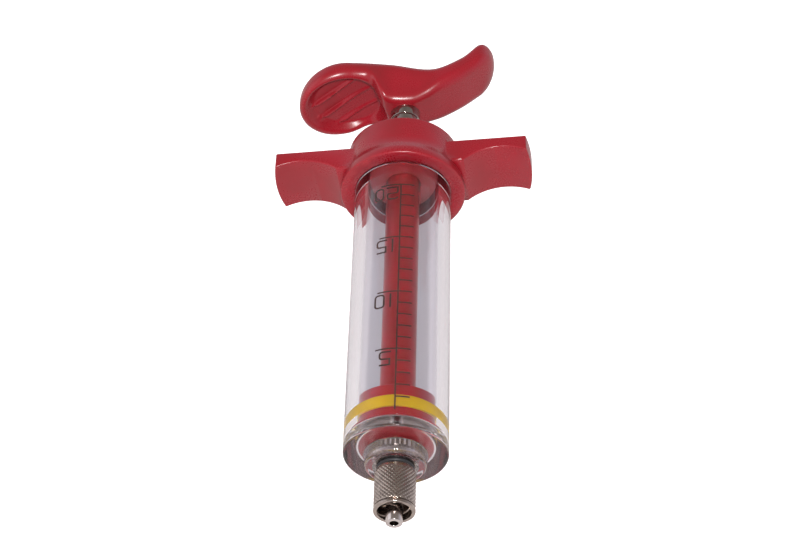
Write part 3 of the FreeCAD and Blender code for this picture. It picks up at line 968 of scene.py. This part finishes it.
def knurl_tree():
    """Diamond knurl: a fine grid wrapped on the collar, with a raised diamond in each crossing."""
    tree, given, result = geometry_tree("diamond_knurl", [
        ("Radius", "NodeSocketFloat", 5.0),
        ("Length", "NodeSocketFloat", 9.4),
        ("Bottom", "NodeSocketFloat", -14.8),
        ("Diamonds round", "NodeSocketInt", 40),
        ("Diamonds along", "NodeSocketInt", 12),
        ("Steps", "NodeSocketInt", 6),
        ("Depth", "NodeSocketFloat", 0.25),
        ("Crest", "NodeSocketFloat", 0.62),
    ])
    girth = maths(tree, "MULTIPLY", given["Radius"], 2 * pi)
    grid = add(tree, "GeometryNodeMeshGrid", {
        "Size X": girth,
        "Size Y": given["Length"],
        "Vertices X": maths(tree, "MULTIPLY_ADD", given["Diamonds round"], given["Steps"], 1.0),
        "Vertices Y": maths(tree, "MULTIPLY_ADD", given["Diamonds along"], given["Steps"], 1.0),
    }).outputs["Mesh"]
    place = split(tree, add(tree, "GeometryNodeInputPosition").outputs[0])
    girth_share = maths(tree, "DIVIDE", place["X"], girth)
    length_share = maths(tree, "DIVIDE", place["Y"], given["Length"])
    across = maths(tree, "MULTIPLY", girth_share, given["Diamonds round"])
    along = maths(tree, "MULTIPLY", length_share, given["Diamonds along"])
    ridges = []
    for operation in ("ADD", "SUBTRACT"):
        diagonal = maths(tree, operation, across, along)
        ridges.append(maths(tree, "PINGPONG", diagonal, 0.5))
    low = maths(tree, "MULTIPLY", maths(tree, "MINIMUM", *ridges), 2.0)
    rise = maths(tree, "MINIMUM", maths(tree, "DIVIDE", low, given["Crest"]), 1.0)
    shaped = maths(tree, "SINE", maths(tree, "MULTIPLY", rise, pi / 2))
    half_length = maths(tree, "MULTIPLY", given["Length"], 0.5)
    end = maths(tree, "SUBTRACT", half_length, maths(tree, "ABSOLUTE", place["Y"]))
    fade = maths(tree, "MINIMUM", maths(tree, "DIVIDE", end, 0.25), 1.0)
    height = maths(tree, "MULTIPLY", shaped, fade)
    sunk = maths(tree, "MULTIPLY", maths(tree, "SUBTRACT", 1.0, height), given["Depth"])
    reach = maths(tree, "SUBTRACT", given["Radius"], sunk)
    angle = maths(tree, "DIVIDE", place["X"], given["Radius"])
    middle = maths(tree, "ADD", half_length, given["Bottom"])
    bent = combine(
        tree,
        maths(tree, "MULTIPLY", reach, maths(tree, "COSINE", angle)),
        maths(tree, "MULTIPLY", reach, maths(tree, "SINE", angle)),
        maths(tree, "ADD", place["Y"], middle),
    )
    shell = add(tree, "GeometryNodeSetPosition", {"Geometry": grid, "Position": bent}).outputs[0]
    closed = add(tree, "GeometryNodeMergeByDistance", {"Geometry": shell, "Distance": 0.001}).outputs[0]
    close_tree(tree, closed, NICKEL, result)
    return tree


def collar_knurl():
    """Knurled skin of the collar between its shoulder and the groove, closed against the sleeve."""
    bottom = collar_size.bottom + collar_rim_length + collar_groove_width
    top = collar_size.top - 1.1
    mesh = grown(knurl_tree(), {
        "Radius": collar_size.radius, "Length": top - bottom, "Bottom": bottom,
        "Diamonds round": 30, "Diamonds along": 9, "Steps": 8, "Depth": knurl_depth, "Crest": 0.9,
    })
    shape = bmesh.new()
    shape.from_mesh(mesh)
    open_edges = [edge for edge in shape.edges if edge.is_boundary]
    inner = bmesh.ops.extrude_edge_only(shape, edges=open_edges)["geom"]
    for vertex in (item for item in inner if isinstance(item, bmesh.types.BMVert)):
        reach = hypot(vertex.co.x, vertex.co.y)
        share = (collar_size.radius - knurl_seat_depth - 0.15) / reach
        vertex.co.x *= share
        vertex.co.y *= share
    loops = [edge for edge in shape.edges if edge.is_boundary]
    bmesh.ops.bridge_loops(shape, edges=loops)
    bmesh.ops.recalc_face_normals(shape, faces=shape.faces)
    piece_from(finished(shape, "knurl"), "collar_knurl", "nozzle", NICKEL, sharp=60)


def tooth_tree():
    """Straight pointed teeth in a ring."""
    tree, given, result = geometry_tree("insert_teeth", [
        ("Count", "NodeSocketInt", 40),
        ("Root radius", "NodeSocketFloat", 5.0),
        ("Tooth height", "NodeSocketFloat", 0.55),
        ("Tooth length", "NodeSocketFloat", 1.5),
        ("Bottom", "NodeSocketFloat", 0.8),
    ])
    tooth = add(tree, "GeometryNodeMeshCone", {
        "Vertices": 4, "Side Segments": 1,
        "Radius Top": given["Tooth height"], "Radius Bottom": given["Tooth height"],
        "Depth": given["Tooth length"],
    }).outputs["Mesh"]
    circle = add(tree, "GeometryNodeMeshCircle", {
        "Vertices": given["Count"], "Radius": given["Root radius"],
    }).outputs["Mesh"]
    index = add(tree, "GeometryNodeInputIndex").outputs[0]
    turn = maths(tree, "DIVIDE", maths(tree, "MULTIPLY", index, 2 * pi), given["Count"])
    raised = add(tree, "GeometryNodeTransform", {
        "Geometry": circle,
        "Translation": combine(tree, z=given["Bottom"]),
    }).outputs[0]
    teeth = add(tree, "GeometryNodeInstanceOnPoints", {
        "Points": raised, "Instance": tooth,
        "Rotation": combine(tree, z=turn),
    }).outputs["Instances"]
    close_tree(tree, teeth, BRIGHT_NICKEL, result)
    return tree


def toothed_insert():
    """Metal bush in the boss: plain body with a foot, and a band of straight teeth at its inner end."""
    body_radius = insert_size.radius - insert_tooth_height
    hollow = spigot_radius + 0.07
    turned("threaded_insert", [
        (passage_radius, insert_size.top),
        (body_radius, insert_size.top, 0.15),
        (body_radius, -boss_length + insert_foot_height),
        (insert_size.radius, -boss_length + insert_foot_height - 0.3, 0.3),
        (insert_size.radius, -boss_length, 0.1),
        (hollow, -boss_length, 0.2),
        (hollow, insert_hollow_top),
        (passage_radius, insert_hollow_top),
    ], "barrel", BRIGHT_NICKEL, "nozzle_insert")
    mesh = grown(tooth_tree(), {
        "Count": insert_teeth, "Root radius": body_radius, "Tooth height": insert_tooth_height - 0.02,
        "Tooth length": insert_tooth_length, "Bottom": insert_size.top - insert_tooth_length,
    })
    piece_from(mesh, "insert_teeth", "barrel", BRIGHT_NICKEL, sharp=20)


def thread_tree():
    """Helical thread ridge on or in a cylinder."""
    tree, given, result = geometry_tree("thread_ridge", [
        ("Radius", "NodeSocketFloat", 4.0),
        ("Pitch", "NodeSocketFloat", 2.5),
        ("Turns", "NodeSocketFloat", 2.0),
        ("Ridge", "NodeSocketFloat", 0.3),
        ("Bottom", "NodeSocketFloat", -15.0),
    ])
    spiral = add(tree, "GeometryNodeCurveSpiral", {
        "Resolution": 64, "Rotations": given["Turns"], "Start Radius": given["Radius"],
        "End Radius": given["Radius"], "Height": maths(tree, "MULTIPLY", given["Pitch"], given["Turns"]),
    }).outputs[0]
    section = add(tree, "GeometryNodeCurvePrimitiveCircle", {
        "Resolution": 6, "Radius": given["Ridge"],
    }).outputs["Curve"]
    ridge = add(tree, "GeometryNodeCurveToMesh", {
        "Curve": spiral, "Profile Curve": section, "Fill Caps": True,
    }).outputs[0]
    lifted = add(tree, "GeometryNodeTransform", {
        "Geometry": ridge,
        "Translation": combine(tree, z=given["Bottom"]),
    }).outputs[0]
    close_tree(tree, lifted, NICKEL, result)
    return tree


def lock_thread():
    """Two-start thread in the collar's mouth, which grips the lugs of a hub."""
    tree = thread_tree()
    shape = bmesh.new()
    for start in range(2):
        mesh = grown(tree, {
            "Radius": collar_mouth_radius, "Pitch": 5.0, "Turns": 1.3, "Ridge": 0.34,
            "Bottom": collar_size.bottom + 0.6,
        })
        mesh.transform(Matrix.Rotation(pi * start, 4, "Z"))
        shape.from_mesh(mesh)
    piece_from(finished(shape, "lock_thread"), "collar_lock_thread", "nozzle", NICKEL, sharp=60)


def hidden_fittings():
    """Fittings inside the stem and the handle keep their own meshes and get their metals."""
    for node, material in (("plate_insert", BRASS), ("spindle", STEEL), ("handle_nut", BRASS)):
        slots = frame["nodes"][node].data.materials
        slots.clear()
        slots.append(material)


# Stage

def floor():
    """Plain pale floor under the syringe."""
    lowest = cad_box[0].z
    half = 3.0
    mesh = bpy.data.meshes.new("floor")
    corners = [(x * half, y * half, lowest) for x, y in ((-1, -1), (1, -1), (1, 1), (-1, 1))]
    mesh.from_pydata(corners, [], [(0, 1, 2, 3)])
    piece = bpy.data.objects.new("floor", mesh)
    bpy.context.scene.collection.objects.link(piece)
    material, tree, shader = new_material("pale_floor")
    skin = place_group(tree, SKIN, Colour=(0.36, 0.34, 0.33), Cloud_colour=(0.33, 0.31, 0.3),
                       Cloud_size=0.4, Pit_size=0.002, Roughness=0.8, Haze=0.05)
    tree.links.new(skin["Colour"], shader["Base Color"])
    tree.links.new(skin["Roughness"], shader["Roughness"])
    shader["Specular IOR Level"].default_value = 0.1
    seen = add(tree, "ShaderNodeLightPath").outputs["Is Camera Ray"]
    tree.links.new(maths(tree, "MULTIPLY_ADD", seen, 0.9, 0.42), shader["Emission Strength"])
    shader["Emission Color"].default_value = (1, 0.97, 0.99, 1)
    mesh.materials.append(material)


def studio_air():
    """Pale lavender horizon that turns dark and warm overhead, as in a room with a low light tent."""
    world = bpy.data.worlds.new("light_tent")
    world.use_nodes = True
    tree = world.node_tree
    tree.nodes.clear()
    up = split(tree, add(tree, "ShaderNodeTexCoord").outputs["Generated"])["Z"]
    share = ramp(tree, up, [(0.1, 0), (0.75, 1)])
    room = blend_colours(tree, share, (0.72, 0.71, 0.8), (0.3, 0.27, 0.25))
    seen = add(tree, "ShaderNodeLightPath").outputs["Is Camera Ray"]
    colour = blend_colours(tree, seen, room, (1, 1, 1))
    air = add(tree, "ShaderNodeBackground", {"Color": colour, "Strength": 1.0}).outputs[0]
    output = tree.nodes.new("ShaderNodeOutputWorld")
    tree.links.new(air, output.inputs["Surface"])
    bpy.context.scene.world = world


def softbox(name, place, aim, width, height, power):
    """Area light at an upright-syringe place in millimetres, aimed at another."""
    light = bpy.data.lights.new(name, "AREA")
    light.shape = "RECTANGLE"
    light.size = width * MM
    light.size_y = height * MM
    light.energy = power
    lamp = bpy.data.objects.new(name, light)
    bpy.context.scene.collection.objects.link(lamp)
    lamp.location = LAID @ Vector(place)
    aimed = (LAID @ Vector(aim) - lamp.location).to_track_quat("-Z", "Y")
    lamp.rotation_mode = "QUATERNION"
    lamp.rotation_quaternion = aimed


def lights():
    softbox("camera_light", (58.5, -409, -210.5), (0, 0, 55), 90, 60, 2.65)
    softbox("fill_box", (-420, -260, 60), (0, 0, 50), 420, 420, 0.35)


def camera():
    """Eye of the photograph: low over the nozzle, looking up the syringe."""
    place = LAID @ Vector(eye_place)
    aim = LAID @ Vector(eye_aim)
    forward = (aim - place).normalized()
    up = (LAID.to_3x3() @ Vector((0, 0, 1))).normalized()
    right = forward.cross(up).normalized()
    level_up = right.cross(forward)
    turned_right = right * cos(eye_roll) + level_up * sin(eye_roll)
    turned_up = turned_right.cross(forward)
    data = bpy.data.cameras.new("camera")
    data.sensor_width = 36
    data.lens = eye_lens
    data.clip_start = 0.01
    data.clip_end = 20
    eye = bpy.data.objects.new("camera", data)
    bpy.context.scene.collection.objects.link(eye)
    axes = Matrix((turned_right, turned_up, -forward)).transposed()
    eye.matrix_world = Matrix.Translation(place) @ axes.to_4x4()
    bpy.context.scene.camera = eye


def light_paths():
    """Enough bounces for light that is piped up the clear wall, and plain colours."""
    scene = bpy.context.scene
    scene.cycles.max_bounces = 64
    scene.cycles.glossy_bounces = 64
    scene.cycles.transmission_bounces = 64
    scene.cycles.diffuse_bounces = 4
    scene.view_settings.view_transform = "Standard"


barrel()
printed_scale()
piston()
cap_inside()
winged_cap()
nozzle()
collar_knurl()
lock_thread()
toothed_insert()
handle_and_ferrule()
hidden_fittings()
floor()
studio_air()
lights()
camera()
light_paths()
